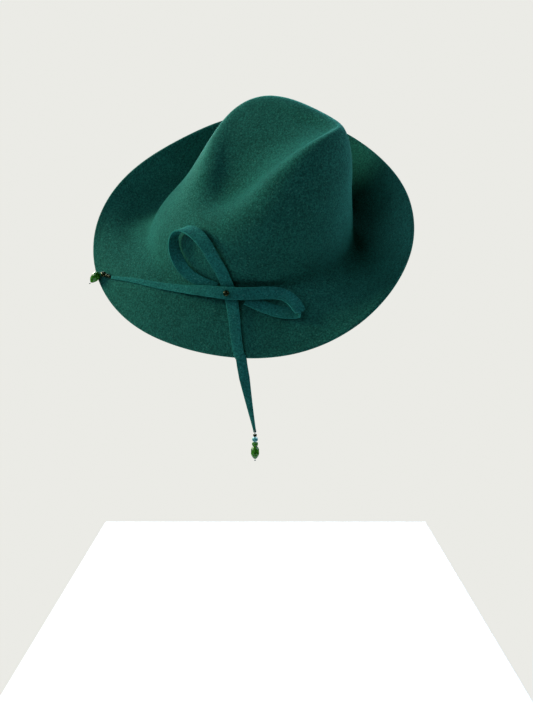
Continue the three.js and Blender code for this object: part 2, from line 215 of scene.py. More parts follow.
def felt_material(name, dark, light, pale, sheen, edge_highlight_colour=None):
    """Velour felt: mottled nap, scattered paler fibres, and the soft sheen of raised fur."""
    material, tree, shader = new_material(name)
    place = object_coordinates(tree)
    nap = noise_value(tree, place, 1.5 * MM, detail=4, roughness=0.75)
    fleck = noise_value(tree, place, 1.0 * MM, detail=2, roughness=0.6)
    cloud = noise_value(tree, place, 16 * MM, detail=3)
    fibres = noise_value(tree, object_coordinates(tree, (1, 0.35, 0.5)), 0.7 * MM, detail=1)
    colour = ramp(tree, nap, [(0.41, dark), (0.59, light)])
    deeper = tuple(0.55 * value for value in dark)
    colour = mix_colour(tree, ramp(tree, cloud, [(0.38, (0.20,) * 3), (0.62, (0, 0, 0))]), colour, deeper)
    colour = mix_colour(tree, ramp(tree, fleck, [(0.30, (0.55,) * 3), (0.48, (0, 0, 0))]), colour, deeper)
    colour = mix_colour(tree, ramp(tree, fibres, [(0.62, (0, 0, 0)), (0.76, (0.6,) * 3)]), colour, pale)
    # Cut edges are painted the light felt colour: a painted highlight along the edges, standing in for the
    # light they catch.
    if edge_highlight_colour:
        attribute = tree.nodes.new("ShaderNodeAttribute")
        attribute.attribute_name = "cut_edge"
        colour = mix_colour(tree, attribute.outputs["Fac"], colour, edge_highlight_colour)
    tree.links.new(colour, shader.inputs["Base Color"])
    shader.inputs["Roughness"].default_value = 0.95
    shader.inputs["Specular IOR Level"].default_value = 0.1
    shader.inputs["Sheen Weight"].default_value = sheen
    shader.inputs["Sheen Roughness"].default_value = 0.4
    shader.inputs["Sheen Tint"].default_value = (0.10, 0.80, 0.62, 1)
    coarse = add_bump(tree, shader, nap, 0.7, 0.5 * MM)
    add_bump(tree, shader, fibres, 0.35, 0.2 * MM, before=coarse)
    return material


def petersham_material():
    """Ribbed ribbon: cross ribs are geometry, and the yarn shows as fine streaks along them."""
    material, tree, shader = new_material("petersham_ribbon")
    yarn = noise_value(tree, object_coordinates(tree), 0.35 * MM, detail=2)
    tree.links.new(ramp(tree, yarn, [(0.3, (0.004, 0.022, 0.016)), (0.7, (0.009, 0.05, 0.036))]),
                   shader.inputs["Base Color"])
    shader.inputs["Roughness"].default_value = 0.62
    shader.inputs["Sheen Weight"].default_value = 0.2
    shader.inputs["Sheen Tint"].default_value = (0.10, 0.80, 0.62, 1)
    add_bump(tree, shader, yarn, 0.3, 0.1 * MM)
    return material


def thread_material(name, dark, light):
    material, tree, shader = new_material(name)
    fibre = noise_value(tree, object_coordinates(tree), 0.15 * MM, detail=2)
    tree.links.new(ramp(tree, fibre, [(0.3, dark), (0.7, light)]), shader.inputs["Base Color"])
    shader.inputs["Roughness"].default_value = 0.55
    shader.inputs["Sheen Weight"].default_value = 0.3
    add_bump(tree, shader, fibre, 0.3, 0.05 * MM)
    return material


def wire_material():
    material, tree, shader = new_material("millinery_wire")
    wrap = noise_value(tree, object_coordinates(tree), 0.4 * MM)
    tree.links.new(ramp(tree, wrap, [(0.3, (0.30, 0.30, 0.29)), (0.7, (0.52, 0.52, 0.50))]),
                   shader.inputs["Base Color"])
    shader.inputs["Metallic"].default_value = 0.9
    shader.inputs["Roughness"].default_value = 0.35
    add_bump(tree, shader, wrap, 0.2, 0.05 * MM)
    return material


def glass_material(name, dark, light, transmission, roughness, glint=(1, 1, 1), gloss=0.8):
    """Bead glass with the faint streaks of pressed glass. Glint is the colour of its reflections."""
    material, tree, shader = new_material(name)
    streak = noise_value(tree, object_coordinates(tree, (1, 1, 0.3)), 1.6 * MM, detail=2)
    tree.links.new(ramp(tree, streak, [(0.3, dark), (0.7, light)]), shader.inputs["Base Color"])
    shader.inputs["Roughness"].default_value = roughness
    shader.inputs["IOR"].default_value = 1.55
    shader.inputs["Transmission Weight"].default_value = transmission
    shader.inputs["Specular Tint"].default_value = (*glint, 1)
    shader.inputs["Specular IOR Level"].default_value = gloss
    return material


def painted_material(name, light, dark):
    material, tree, shader = new_material(name)
    patch = noise_value(tree, object_coordinates(tree), 60 * MM, detail=3)
    tree.links.new(ramp(tree, patch, [(0.2, dark), (0.8, light)]), shader.inputs["Base Color"])
    shader.inputs["Roughness"].default_value = 0.7
    return material


# ---- the felt surface ----
HEAD_LENGTH = 194 * MM
HEAD_WIDTH = 160 * MM
HAT_TILT = math.radians(41)
# Every 45 degrees: left, left back, back, right back, right, right front, front, left front.
BRIM_WIDTHS = np.array([52.5, 58, 60, 65, 67.5, 50.5, 53, 54.5]) * MM
BRIM_SLOPES = np.radians([-34, 12, 49, 58, 60, 52, -6, -40])
BRIM_CURL = 2
BRIM_SHARES = (1, 0.55, 0.22)
# Each ring of the crown: reach to the left, right, front and back, height every 45 degrees like the
# brim, how much it narrows at the back, and how much at the front (millimetres until crown_point).
CROWN_RINGS = (
    ((80, 80, 97, 97), (4, 4, 4, 4, 4, 4, 4, 4), 0, 0),
    ((77, 77, 91, 93.5), (15, 15, 15, 15, 15, 14, 13, 14), 0, 0),
    ((68, 70.5, 67, 87.5), (50, 53, 55, 59, 58, 47, 38, 40), 0.05, 0),
    ((49, 65, 45, 80.5), (78, 94, 95, 96, 95.5, 81, 60, 55), 0.23, 0.1),
    ((37, 58, 36, 73), (86, 106, 107, 105, 104, 90, 67, 57), 0.42, 0.2),
    ((18, 36, 22, 57), (81, 97, 99, 97, 96, 85, 69, 61), 0.42, 0.2),
    ((0, 0, 6, 41), (82, 91, 94, 91, 82, 74, 71, 74), 0, 0),
)
RING_COUNT = len(BRIM_SHARES) + len(CROWN_RINGS)
TOP_LEVEL = RING_COUNT - 1
CAD_ANGLES = 60


def unit(vectors):
    return vectors / np.linalg.norm(vectors, axis=-1, keepdims=True)


def smooth_step(value, low, high):
    share = np.clip((value - low) / (high - low), 0, 1)
    return share * share * (3 - 2 * share)


def every_eighth(values, angle):
    """A smooth value round the hat from its values every 45 degrees."""
    turn = np.asarray(angle)[..., None] - np.arange(8) * np.pi / 4
    waves = 2 * (np.cos(turn) + np.cos(2 * turn) + np.cos(3 * turn)) + np.cos(4 * turn)
    return (1 + waves) / 8 @ values


def brim_point(angle, share):
    c, s = np.cos(angle), np.sin(angle)
    outward = unit(np.stack([c / (HEAD_WIDTH / 2), s / (HEAD_LENGTH / 2)], -1))
    width = every_eighth(BRIM_WIDTHS, angle)
    slope = every_eighth(BRIM_SLOPES, angle)
    out = width * share * np.cos(slope)
    up = width * np.sin(slope) * share ** BRIM_CURL
    return np.stack([HEAD_WIDTH / 2 * c + out * outward[..., 0],
                     HEAD_LENGTH / 2 * s + out * outward[..., 1], up], -1)


def crown_point(angle, ring):
    (left, right, front, back), heights, back_taper, front_taper = ring
    c, s = np.cos(angle), np.sin(angle)
    x = np.where(c >= 0, left, right) * c * (1 - back_taper * s) * (1 - front_taper * ((1 - s) / 2) ** 3)
    y = (back - front) / 2 + (back + front) / 2 * s
    z = every_eighth(np.array(heights), angle)
    return np.stack([x, y, z], -1) * MM


def ring_points(angle):
    """Every ring's point at each angle, ring by ring from the brim edge to the crease."""
    brim = [brim_point(angle, share) for share in BRIM_SHARES]
    crown = [crown_point(angle, ring) for ring in CROWN_RINGS]
    return np.stack(brim + crown)


def ring_knots():
    rings = ring_points(np.linspace(0, 2 * np.pi, CAD_ANGLES, endpoint=False))
    steps = np.linalg.norm(np.diff(rings, axis=0), axis=-1).mean(axis=1)
    return np.concatenate([[0], np.cumsum(steps)])


def spline_bends(knots):
    """Second derivatives at the knots of the natural splines that are 1 at one knot, 0 at the rest."""
    span = np.diff(knots)
    system = np.eye(len(knots))
    turns = np.zeros((len(knots), len(knots)))
    for i in range(1, len(knots) - 1):
        before, after = span[i - 1], span[i]
        system[i, i - 1:i + 2] = before, 2 * (before + after), after
        turns[i, i - 1:i + 2] = 6 / before, -6 / before - 6 / after, 6 / after
    return np.linalg.solve(system, turns)


RING_KNOTS = ring_knots()
RING_BENDS = spline_bends(RING_KNOTS)
TILT_TURN = np.array([[math.cos(HAT_TILT), 0, math.sin(HAT_TILT)],
                      [0, 1, 0],
                      [-math.sin(HAT_TILT), 0, math.cos(HAT_TILT)]])
HAT_UP = TILT_TURN @ UP


def ring_weights(level):
    low = np.clip(np.floor(level).astype(int), 0, RING_COUNT - 2)
    span = RING_KNOTS[low + 1] - RING_KNOTS[low]
    b = level - low
    a = 1 - b
    bend = (a ** 3 - a)[:, None] * RING_BENDS[low] + (b ** 3 - b)[:, None] * RING_BENDS[low + 1]
    weights = bend * (span ** 2 / 6)[:, None]
    rows = np.arange(len(level))
    weights[rows, low] += a
    weights[rows, low + 1] += b
    return weights


def through_rings(level, angle):
    """Points on the smooth surface through the rings, with the hat upright."""
    return np.einsum("nr,rnk->nk", ring_weights(level), ring_points(angle))


def place_terms(points):
    """Products of powers of x and y up to the fourth order."""
    x, y = points[:, 0] / HEAD_WIDTH, points[:, 1] / HEAD_WIDTH
    return np.stack([x ** i * y ** j for i in range(5) for j in range(5 - i)], -1)


def dent_heights():
    """Terms of the height inside the crown's rim, continuing the felt between its last two rings."""
    level, angle = (grid.ravel() for grid in np.meshgrid(
        np.linspace(TOP_LEVEL - 2, TOP_LEVEL - 1, 5), np.linspace(0, 2 * np.pi, CAD_ANGLES, endpoint=False)))
    points = through_rings(level, angle)
    return np.linalg.lstsq(place_terms(points), points[:, 2], rcond=None)[0]


DENT_HEIGHTS = dent_heights()


def felt_face(level, angle):
    """Points of the felt's outer face. Level 0 is the brim edge, each ring one level further in."""
    level, angle = np.broadcast_arrays(np.atleast_1d(level).astype(float), angle)
    points = through_rings(level.ravel(), angle.ravel())
    inside = smooth_step(level.ravel(), TOP_LEVEL - 1.6, TOP_LEVEL - 0.8)
    points[:, 2] += inside * (place_terms(points) @ DENT_HEIGHTS - points[:, 2])
    return (points @ TILT_TURN.T).reshape(*level.shape, 3)


def felt_normal(level, angle):
    small = 0.01
    level, angle = np.broadcast_arrays(np.atleast_1d(level).astype(float), angle)
    level = np.minimum(level, TOP_LEVEL - 3 * small)
    along = felt_face(level, angle + small) - felt_face(level, angle - small)
    inward = felt_face(level + small, angle) - felt_face(level - small, angle)
    return unit(np.cross(along, inward))


def felt_point(level, angle, depth):
    """A point at a depth below the felt's outer face; a negative depth is above it."""
    depth = np.broadcast_to(depth, np.broadcast(level, angle).shape)
    return felt_face(level, angle) - felt_normal(level, angle) * np.atleast_1d(depth)[..., None]


def felt_place(y, z):
    """Level and angle of the felt point on the left side that has the given y and z."""
    level, angle = (grid.ravel() for grid in np.meshgrid(
        np.arange(0, 7.5, 0.5), np.radians(np.arange(-95, 65, 5)), indexing="ij"))
    points = felt_face(level, angle)
    best = np.argmin(np.hypot(points[:, 1] - y, points[:, 2] - z) + (points[:, 0] < 0))
    level, angle = level[best], angle[best]
    small = 0.01
    for _ in range(12):
        here = felt_face(level, angle)[0]
        by_level = (felt_face(level + small, angle)[0] - here) / small
        by_angle = (felt_face(level, angle + small)[0] - here) / small
        slopes = np.array([[by_level[1], by_angle[1]], [by_level[2], by_angle[2]]])
        step = np.linalg.solve(slopes, [y - here[1], z - here[2]])
        level += np.clip(step[0], -0.3, 0.3)
        angle += np.clip(step[1], -0.1, 0.1)
    return level, angle


# ---- mesh helpers ----
def make_object(name, points, faces, material, smooth=True):
    mesh = bpy.data.meshes.new(name)
    mesh.from_pydata(np.asarray(points).tolist(), [], faces)
    piece = bpy.data.objects.new(name, mesh)
    scene.collection.objects.link(piece)
    tidy_mesh(mesh)
    mesh.polygons.foreach_set("use_smooth", [smooth] * len(mesh.polygons))
    mesh.materials.append(material)
    return piece


def tidy_mesh(mesh):
    """Joins points that coincide and turns every face outward."""
    work = bmesh.new()
    work.from_mesh(mesh)
    bmesh.ops.remove_doubles(work, verts=work.verts, dist=1e-7)
    bmesh.ops.recalc_face_normals(work, faces=work.faces)
    work.to_mesh(mesh)
    work.free()


def grid_faces(rows, columns, closed_rows, closed_columns):
    """Faces between points laid out row by row."""
    faces = []
    for i in range(rows if closed_rows else rows - 1):
        here, after = i * columns, (i + 1) % rows * columns
        for j in range(columns if closed_columns else columns - 1):
            k = (j + 1) % columns
            faces.append((here + j, after + j, after + k, here + k))
    return faces


def swept(name, sections, material, closed_path=False, smooth=True):
    """A solid through closed sections of equal length, capped at the ends of an open path."""
    sections = np.asarray(sections)
    rows, columns = sections.shape[:2]
    faces = grid_faces(rows, columns, closed_path, True)
    if not closed_path:
        faces.append(tuple(range(columns)))
        faces.append(tuple(range((rows - 1) * columns, rows * columns)))
    return make_object(name, sections.reshape(-1, 3), faces, material, smooth)


def smooth_line(points, shares, even=False):
    """A Catmull-Rom curve through points, at shares of its parameter. Centripetal unless even."""
    points = np.asarray(points, float)
    last = len(points) - 1
    padded = np.vstack([2 * points[0] - points[1], points, 2 * points[-1] - points[-2]])
    reached = np.clip(np.asarray(shares) * last, 0, last)
    low = np.minimum(reached.astype(int), last - 1)
    u = (reached - low)[:, None]
    p0, p1, p2, p3 = (padded[low + k] for k in range(4))
    d0, d1, d2 = (np.ones_like(u) if even else np.linalg.norm(b - a, axis=1, keepdims=True) ** 0.5
                  for a, b in ((p0, p1), (p1, p2), (p2, p3)))
    start = ((p1 - p0) / d0 - (p2 - p0) / (d0 + d1) + (p2 - p1) / d1) * d1
    end = ((p2 - p1) / d1 - (p3 - p1) / (d1 + d2) + (p3 - p2) / d2) * d1
    return ((2 * u ** 3 - 3 * u ** 2 + 1) * p1 + (u ** 3 - 2 * u ** 2 + u) * start
            + (3 * u ** 2 - 2 * u ** 3) * p2 + (u ** 3 - u ** 2) * end)


def directions(points, closed=False):
    if closed:
        return unit(np.roll(points, -1, axis=0) - np.roll(points, 1, axis=0))
    return unit(np.gradient(points, axis=0))


def tube_sections(centres, radius, sides, closed=False):
    """Round sections along a line, turned from one reference direction. Radius may vary."""
    along = directions(centres, closed)
    reference = np.where(np.abs(along @ HAT_UP)[:, None] > 0.8, [1.0, 0, 0], HAT_UP)
    side = unit(np.cross(along, reference))
    other = np.cross(along, side)
    turn = np.linspace(0, 2 * np.pi, sides, endpoint=False)
    ring = side[:, None] * np.cos(turn)[:, None] + other[:, None] * np.sin(turn)[:, None]
    return centres[:, None] + ring * np.broadcast_to(radius, len(centres))[:, None, None]


def join(name, pieces):
    """One object from several, for stitches of one seam."""
    bpy.ops.object.select_all(action="DESELECT")
    for piece in pieces:
        piece.select_set(True)
    bpy.context.view_layer.objects.active = pieces[0]
    bpy.ops.object.join()
    pieces[0].name = name
    return pieces[0]


# ---- the felt body ----
LEVEL_WIDTH = 25 * MM                   # one level near the brim edge
FELT_THICKNESS = 2 * MM
EDGE_LAYER = 1.05 * MM                  # the felt is pressed thinner where it is turned
WIRE_RADIUS = 0.5 * MM
WIRE_DEPTH = EDGE_LAYER + WIRE_RADIUS + 0.05 * MM
WIRE_LEVEL = WIRE_DEPTH / LEVEL_WIDTH
HEM_LEVEL = 0.36
FELT_ANGLES = 400


def layer_thickness(level):
    """Thickness of the single felt layer: full in the crown, thinner towards the edge."""
    return EDGE_LAYER + (FELT_THICKNESS - EDGE_LAYER) * smooth_step(level, 0.3, 1.2)


def edge_relief(level):
    """The outer face swells over the wire and dips along the line of the hem."""
    swell = 0.18 * MM * np.exp(-((level - WIRE_LEVEL) / 0.07) ** 2)
    dip = 0.13 * MM * np.exp(-((level - HEM_LEVEL + 0.02) / 0.04) ** 2)
    return dip - swell


def felt_profile():
    """Level and depth pairs from the crease's outer face, over edge and hem, to its inner face."""
    levels = np.concatenate([np.linspace(TOP_LEVEL, 0.6, 110), np.linspace(0.56, WIRE_LEVEL, 22)])
    outer = np.stack([levels, edge_relief(levels)], -1)
    turn = np.radians(np.arange(15, 180, 15))
    bulge = edge_relief(WIRE_LEVEL)
    nose_depth = WIRE_DEPTH * (1 - np.cos(turn)) + bulge * (turn < 1)
    nose = np.stack([WIRE_LEVEL * (1 - np.sin(turn)), nose_depth], -1)
    under = np.linspace(WIRE_LEVEL, HEM_LEVEL, 12)
    pressed = smooth_step(under, 1.5 * WIRE_LEVEL, 3.5 * WIRE_LEVEL)
    hem_depth = 2 * WIRE_DEPTH - (2 * WIRE_DEPTH - 2 * EDGE_LAYER - 0.1 * MM) * pressed
    hem = np.stack([under, hem_depth], -1)
    hem_end = [[HEM_LEVEL + 0.015, 1.8 * EDGE_LAYER], [HEM_LEVEL + 0.012, 1.3 * EDGE_LAYER],
               [HEM_LEVEL, EDGE_LAYER + 0.1 * MM]]
    slot_half = 0.05 * MM
    room = WIRE_RADIUS + 0.05 * MM
    curl = np.radians(np.arange(20, 341, 32))
    channel = np.stack([WIRE_LEVEL + room * np.cos(curl) / LEVEL_WIDTH, WIRE_DEPTH + room * np.sin(curl)], -1)
    slot = [[3 * WIRE_LEVEL, EDGE_LAYER + 2 * slot_half]]
    slot_back = [[3 * WIRE_LEVEL, EDGE_LAYER], [HEM_LEVEL, EDGE_LAYER]]
    inner_levels = np.concatenate([np.linspace(HEM_LEVEL + 0.04, 1.2, 14), np.linspace(1.3, TOP_LEVEL, 76)])
    inner = np.stack([inner_levels, layer_thickness(inner_levels)], -1)
    return np.vstack([outer, nose, hem, hem_end, slot, channel, slot_back, inner])


def unevenness(points):
    """Slight waves left by blocking and steaming by hand."""
    broad, fine = 1 / (46 * MM), 1 / (15 * MM)
    return np.array([0.45 * MM * noise.noise(Vector(p) * broad) + 0.10 * MM * noise.noise(Vector(p) * fine)
                     for p in points.reshape(-1, 3)]).reshape(points.shape[:-1])


def felt_hat():
    profile = felt_profile()
    angle = np.linspace(0, 2 * np.pi, FELT_ANGLES, endpoint=False)[:, None]
    level = np.broadcast_to(profile[:, 0], (FELT_ANGLES, len(profile)))
    angle = np.broadcast_to(angle, level.shape)
    face = felt_face(level, angle)
    height = unevenness(face) - profile[:, 1]
    points = face + felt_normal(level, angle) * height[..., None]
    faces = grid_faces(FELT_ANGLES, len(profile), True, False)
    return make_object("felt_hat", points.reshape(-1, 3), faces, FELT)


def felt_ring(level, depth):
    angle = np.linspace(0, 2 * np.pi, FELT_ANGLES, endpoint=False)
    return felt_point(np.full(FELT_ANGLES, level), angle, depth)


# ---- strips of the bow ----
STRIP_WIDTH = 10.5 * MM
STRIP_THICKNESS = 1.5 * MM
EDGE_STRIP_WIDTH = 9 * MM
TAIL_END_WIDTH = 2.5 * MM
KNOT_PLACE = {"y": -17.5, "z": -49, "lift": 7.3}

# Route points of the strips, in millimetres: y and z of the felt below, height above the felt, and
# either how far the strip is tipped from lying flat (degrees) or which way its width runs.
FRONT_ROUTE = [
    {"y": -124.8, "z": -38, "lift": 1.7},
    {"y": -102, "z": -40.5, "lift": 1.7},
    {"y": -77, "z": -44.5, "lift": 1.9},
    {"y": -53, "z": -47.5, "lift": 3.4},
    {"y": -36, "z": -48.5, "lift": 6},
    KNOT_PLACE,
    {"y": 0, "z": -48, "lift": 7.2},
    {"y": 15, "z": -49.5, "lift": 7},
    {"y": 27, "z": -53, "lift": 7, "across": (0, -0.4, -1)},
    {"y": 35.5, "z": -58.5, "lift": 7, "across": (0, -0.5, -1)},
    {"y": 41, "z": -64.5, "lift": 6.2, "across": (0, -0.42, -1)},
    {"y": 42.5, "z": -66.5, "lift": 4.4, "across": (0, -0.35, -1)},
    {"y": 38.5, "z": -66.5, "lift": 2.8, "across": (0, -0.2, -1)},
    {"y": 27, "z": -65.5, "lift": 2.3, "across": (0, 0.1, -1)},
    {"y": 12, "z": -61, "lift": 2.1, "across": (0, 0.35, -1)},
    {"y": -2, "z": -54.8, "lift": 2.9, "across": (0, 0.4, -1)},
]
BACK_ROUTE = [
    {"y": -27, "z": -45, "lift": 2.3, "tip": 0},
    {"y": -41, "z": -38, "lift": 2.5, "tip": 5},
    {"y": -51, "z": -29.5, "lift": 4.2, "tip": 22},
    {"y": -56, "z": -20.5, "lift": 5.6, "tip": 48},
    {"y": -58.5, "z": -11, "lift": 6.6, "tip": 76},
    {"y": -57, "z": -3, "lift": 7.2, "tip": 105},
    {"y": -49.5, "z": 1, "lift": 7.4, "tip": 128},
    {"y": -41, "z": -1, "lift": 6.8, "tip": 148},
    {"y": -33, "z": -8, "lift": 5.8, "tip": 160},
    {"y": -26.5, "z": -19, "lift": 4.8, "tip": 170},
    {"y": -20.5, "z": -31, "lift": 3.8, "tip": 176},
    {"y": -17, "z": -42, "lift": 3.4, "tip": 180},
    {"y": -15, "z": -52, "lift": 3.9, "tip": 180},
    {"y": -13.5, "z": -61, "lift": 2.8, "tip": 180},
    {"y": -12, "z": -71, "lift": 1.9, "tip": 180},
    {"y": -10.5, "z": -84, "lift": 1.7, "tip": 180},
    {"y": -8, "z": -99.6, "lift": 1.9, "tip": 180},
]
TAIL_TOP = np.array([74.4, -7, -102]) * MM
TAIL_END = np.array([74.4, 4.6, -167.2]) * MM
TAIL_BOW = 0.3 * MM
TAIL_TWIST = math.radians(20)
TAIL_TAPER_START = 0.27                 # shares of the way down the hanging tail
TAIL_TAPER_SPAN = 0.68


def over_felt(place):
    """The point over the felt and the felt's normal there."""
    level, angle = felt_place(place["y"] * MM, place["z"] * MM)
    return felt_point(level, angle, -place["lift"] * MM)[0], felt_normal(level, angle)[0]


def turned(vector, axis, degrees):
    turn = math.radians(degrees)
    return (vector * math.cos(turn) + np.cross(axis, vector) * math.sin(turn)
            + axis * (axis @ vector) * (1 - math.cos(turn)))


def route_widths(route, places, normals):
    """Which way the strip's width runs at each route point."""
    along = directions_at_points(places)
    widths = []
    for stop, direction, normal in zip(route, along, normals):
        if "across" in stop:
            across = np.array(stop["across"], float)
            widths.append(unit(across - normal * (across @ normal)))
        else:
            flat = unit(np.cross(direction, normal))
            widths.append(turned(flat, direction, stop.get("tip", 0)))
    return np.array(widths)


def directions_at_points(points):
    """The smooth line's direction at each of its own points."""
    shares = np.linspace(0, 1, len(points))
    small = 1e-4
    ahead = smooth_line(points, np.minimum(shares + small, 1))
    behind = smooth_line(points, np.maximum(shares - small, 0))
    return unit(ahead - behind)


def strip_outline(half_width):
    """Rounded cut edges and faintly crowned faces: pairs of across and out, and where the edge is."""
    half = STRIP_THICKNESS / 2
    corner = 0.45 * MM
    points, edge = [], []
    for side, out, first in ((1, 1, 0), (-1, 1, 90), (-1, -1, 180), (1, -1, 270)):
        for degrees in range(first, first + 91, 30):
            turn = math.radians(degrees)
            points.append((side * (half_width - corner) + corner * math.cos(turn),
                           out * (half - corner) + corner * math.sin(turn)))
            edge.append(abs(math.cos(turn)))
        if side == out:
            for share in (0.5, 0, -0.5):
                crown = 0.12 * MM * (1 - share * share)
                points.append((out * share * (half_width - corner), out * (half + crown)))
                edge.append(0)
    return np.array(points), np.array(edge)


def strip_solid(name, centres, sides, widths, material):
    """A strip along a line, its width square to its run and as near to the given sides as that allows."""
    along = directions(centres)
    faces = unit(np.cross(along, sides))
    sides = np.cross(faces, along)
    half_widths = widths / 2
    sections = []
    for centre, side, face, half_width in zip(centres, sides, faces, half_widths):
        outline, edge = strip_outline(half_width)
        sections.append(centre + outline[:, :1] * side + outline[:, 1:] * face)
    piece = swept(name, sections, material)
    # The cut_edge weights place the painted highlight along the strip's cut edges.
    attribute = piece.data.attributes.new("cut_edge", "FLOAT", "POINT")
    attribute.data.foreach_set("value", np.tile(edge, len(sections))[:len(piece.data.vertices)])
    return piece


def front_strip():
    places, normals = map(np.array, zip(*(over_felt(stop) for stop in FRONT_ROUTE)))
    shares = np.linspace(0, 1, 320)
    taper_end = 0.33
    widths = TAIL_END_WIDTH + (STRIP_WIDTH - TAIL_END_WIDTH) * np.minimum(shares / taper_end, 1)
    sides = smooth_line(route_widths(FRONT_ROUTE, places, normals), shares, even=True)
    return strip_solid("front_strip", smooth_line(places, shares), sides, widths, STRIP_FELT)


def hanging_line(shares):
    """Centre line of the hanging tail below the brim edge, bowed a little to the front."""
    line = TAIL_TOP + (TAIL_END - TAIL_TOP) * shares[:, None]
    line[:, 1] -= TAIL_BOW * np.sin(np.pi * shares)
    return line


def hanging_sides(shares):
    turn = TAIL_TWIST * smooth_step(shares, 0.2, 1)
    return unit(np.stack([np.sin(turn), np.cos(turn), np.full_like(turn, 0.15)], -1))


def back_strip_and_tail():
    """One strip from the knot round the upper loop, down the brim and over its edge, in two pieces."""
    places, normals = map(np.array, zip(*(over_felt(stop) for stop in BACK_ROUTE)))
    widths = route_widths(BACK_ROUTE, places, normals)
    hanging = np.array([0.0, 0.12, 0.3, 0.5, 0.7, 0.85, 1.0])
    line = np.vstack([places, hanging_line(hanging)])
    sides = np.vstack([widths, hanging_sides(hanging)])
    steps = 24
    shares = np.linspace(0, 1, (len(line) - 1) * steps + 1)
    centres = smooth_line(line, shares)
    sides = smooth_line(sides, shares, even=True)
    split = (len(places) - 1) * steps
    narrowing = 0.25 * split            # steps over which it narrows towards the brim edge
    narrowed = np.clip((np.arange(split + 1) - split + narrowing) / narrowing, 0, 1)
    on_brim = STRIP_WIDTH + (EDGE_STRIP_WIDTH - STRIP_WIDTH) * narrowed
    fallen = np.clip((TAIL_TOP[2] - centres[split:, 2]) / (TAIL_TOP[2] - TAIL_END[2]), 0, 1)
    tapered = np.clip((fallen - TAIL_TAPER_START) / TAIL_TAPER_SPAN, 0, 1)
    free = EDGE_STRIP_WIDTH + (TAIL_END_WIDTH - EDGE_STRIP_WIDTH) * tapered
    back = strip_solid("back_strip", centres[:split + 1], sides[:split + 1], on_brim, STRIP_FELT)
    tail = strip_solid("tail_strip", centres[split:], sides[split:], free, STRIP_FELT)
    return back, tail, centres[split:]


# ---- thread and stitches ----
def plied_thread(name, line, material, radius=0.25 * MM, pitch=1.1 * MM):
    """Two strands twisted together along a line."""
    line = np.asarray(line, float)
    length = np.linalg.norm(np.diff(line, axis=0), axis=1).sum()
    steps = max(int(length / pitch * 8), 8)
    centres = smooth_line(line, np.linspace(0, 1, steps + 1))
    along = directions(centres)
    reference = np.array([1.0, 0, 0]) if abs(along[0][0]) < 0.8 else UP
    side = unit(np.cross(along, reference))
    other = np.cross(along, side)
    turn = (np.arange(steps + 1) / 8 * 2 * np.pi)[:, None]
    strands = []
    for start in (0, np.pi):
        offset = side * np.cos(turn + start) + other * np.sin(turn + start)
        strand = centres + offset * radius * 0.48
        strands.append(swept(f"{name}_{len(strands)}", tube_sections(strand, radius * 0.55, 8), material))
    return join(name, strands)


def stitch(name, start, end, lift, radius, material):
    """A short raised stitch between two points, rounded into the cloth at both ends."""
    share = np.linspace(0, 1, 9)
    centres = start + (end - start) * share[:, None] + lift * np.sin(np.pi * share)[:, None]
    thickness = radius * np.sqrt(np.maximum(1 - (2 * share - 1) ** 4, 0.04))
    return swept(name, tube_sections(centres, thickness, 8), material)


def hem_stitches():
    """Slip stitches that catch the turned hem to the brim's underside."""
    count = 130
    stitches = []
    for i in range(count):
        angle = 2 * np.pi * (i + random.uniform(-0.08, 0.08)) / count
        lean = 2 * np.pi / count * 0.3
        on_hem = felt_point(HEM_LEVEL - 0.03, angle, 2 * EDGE_LAYER + 0.15 * MM)[0]
        on_brim = felt_point(HEM_LEVEL + 0.055, angle + lean, layer_thickness(HEM_LEVEL))[0]
        out = -felt_normal(HEM_LEVEL, angle)[0] * 0.35 * MM
        stitches.append(stitch(f"hem_stitch_{i}", on_hem, on_brim, out, 0.2 * MM, THREAD))
    return join("hem_stitches", stitches)


BAND_LEVELS = (3.15, 4.5)
BAND_THICKNESS = 0.8 * MM
BAND_GAP = 0.3 * MM


def band_depth(turn):
    climb = smooth_step(turn, 1.6 * np.pi, 2 * np.pi) * (BAND_THICKNESS + BAND_GAP)
    return FELT_THICKNESS + 2 * BAND_GAP + climb


def petersham_band():
    """The sweatband: a ribbed ribbon whose ends overlap at the back."""
    ribs, per_rib = 480, 4
    overlap = 2 * np.pi / 30
    turn = np.linspace(0, 2 * np.pi + overlap, int(ribs * per_rib * 1.03))
    levels = np.linspace(*BAND_LEVELS, 9)
    rib = 0.09 * MM * np.cos(turn * ribs)
    scallop = 0.012 * np.cos(turn * ribs)
    sections = []
    angle = np.pi / 2 + turn
    depth = band_depth(turn)
    for j, level in enumerate(levels):
        edge = scallop * (1 if j == len(levels) - 1 else -1 if j == 0 else 0)
        sections.append(felt_point(level + edge, angle, depth + 0.1 * MM + rib))
    for j, level in reversed(list(enumerate(levels))):
        edge = scallop * (1 if j == len(levels) - 1 else -1 if j == 0 else 0)
        sections.append(felt_point(level + edge, angle, depth + BAND_THICKNESS - 0.1 * MM + rib))
    return swept("petersham_sweatband", np.stack(sections, axis=1), PETERSHAM)


def band_stitches():
    """Slanted stitches that sew the sweatband's lower edge to the felt."""
    count = 118
    stitches = []
    for i in range(count):
        turn = 2 * np.pi * (i + random.uniform(-0.06, 0.06)) / count
        angle = np.pi / 2 + turn
        lean = 2 * np.pi / count * 0.35
        on_band = felt_point(BAND_LEVELS[0] + 0.07, angle, band_depth(turn) + BAND_THICKNESS)[0]
        on_felt = felt_point(BAND_LEVELS[0] - 0.06, angle + lean, FELT_THICKNESS)[0]
        out = -felt_normal(BAND_LEVELS[0], angle)[0] * 0.3 * MM
        stitches.append(stitch(f"band_stitch_{i}", on_band, on_felt, out, 0.22 * MM, THREAD))
    return join("sweatband_stitches", stitches)


# ---- beads ----
BORE = 0.55 * MM
UP_VECTOR = Vector((0, 0, 1))
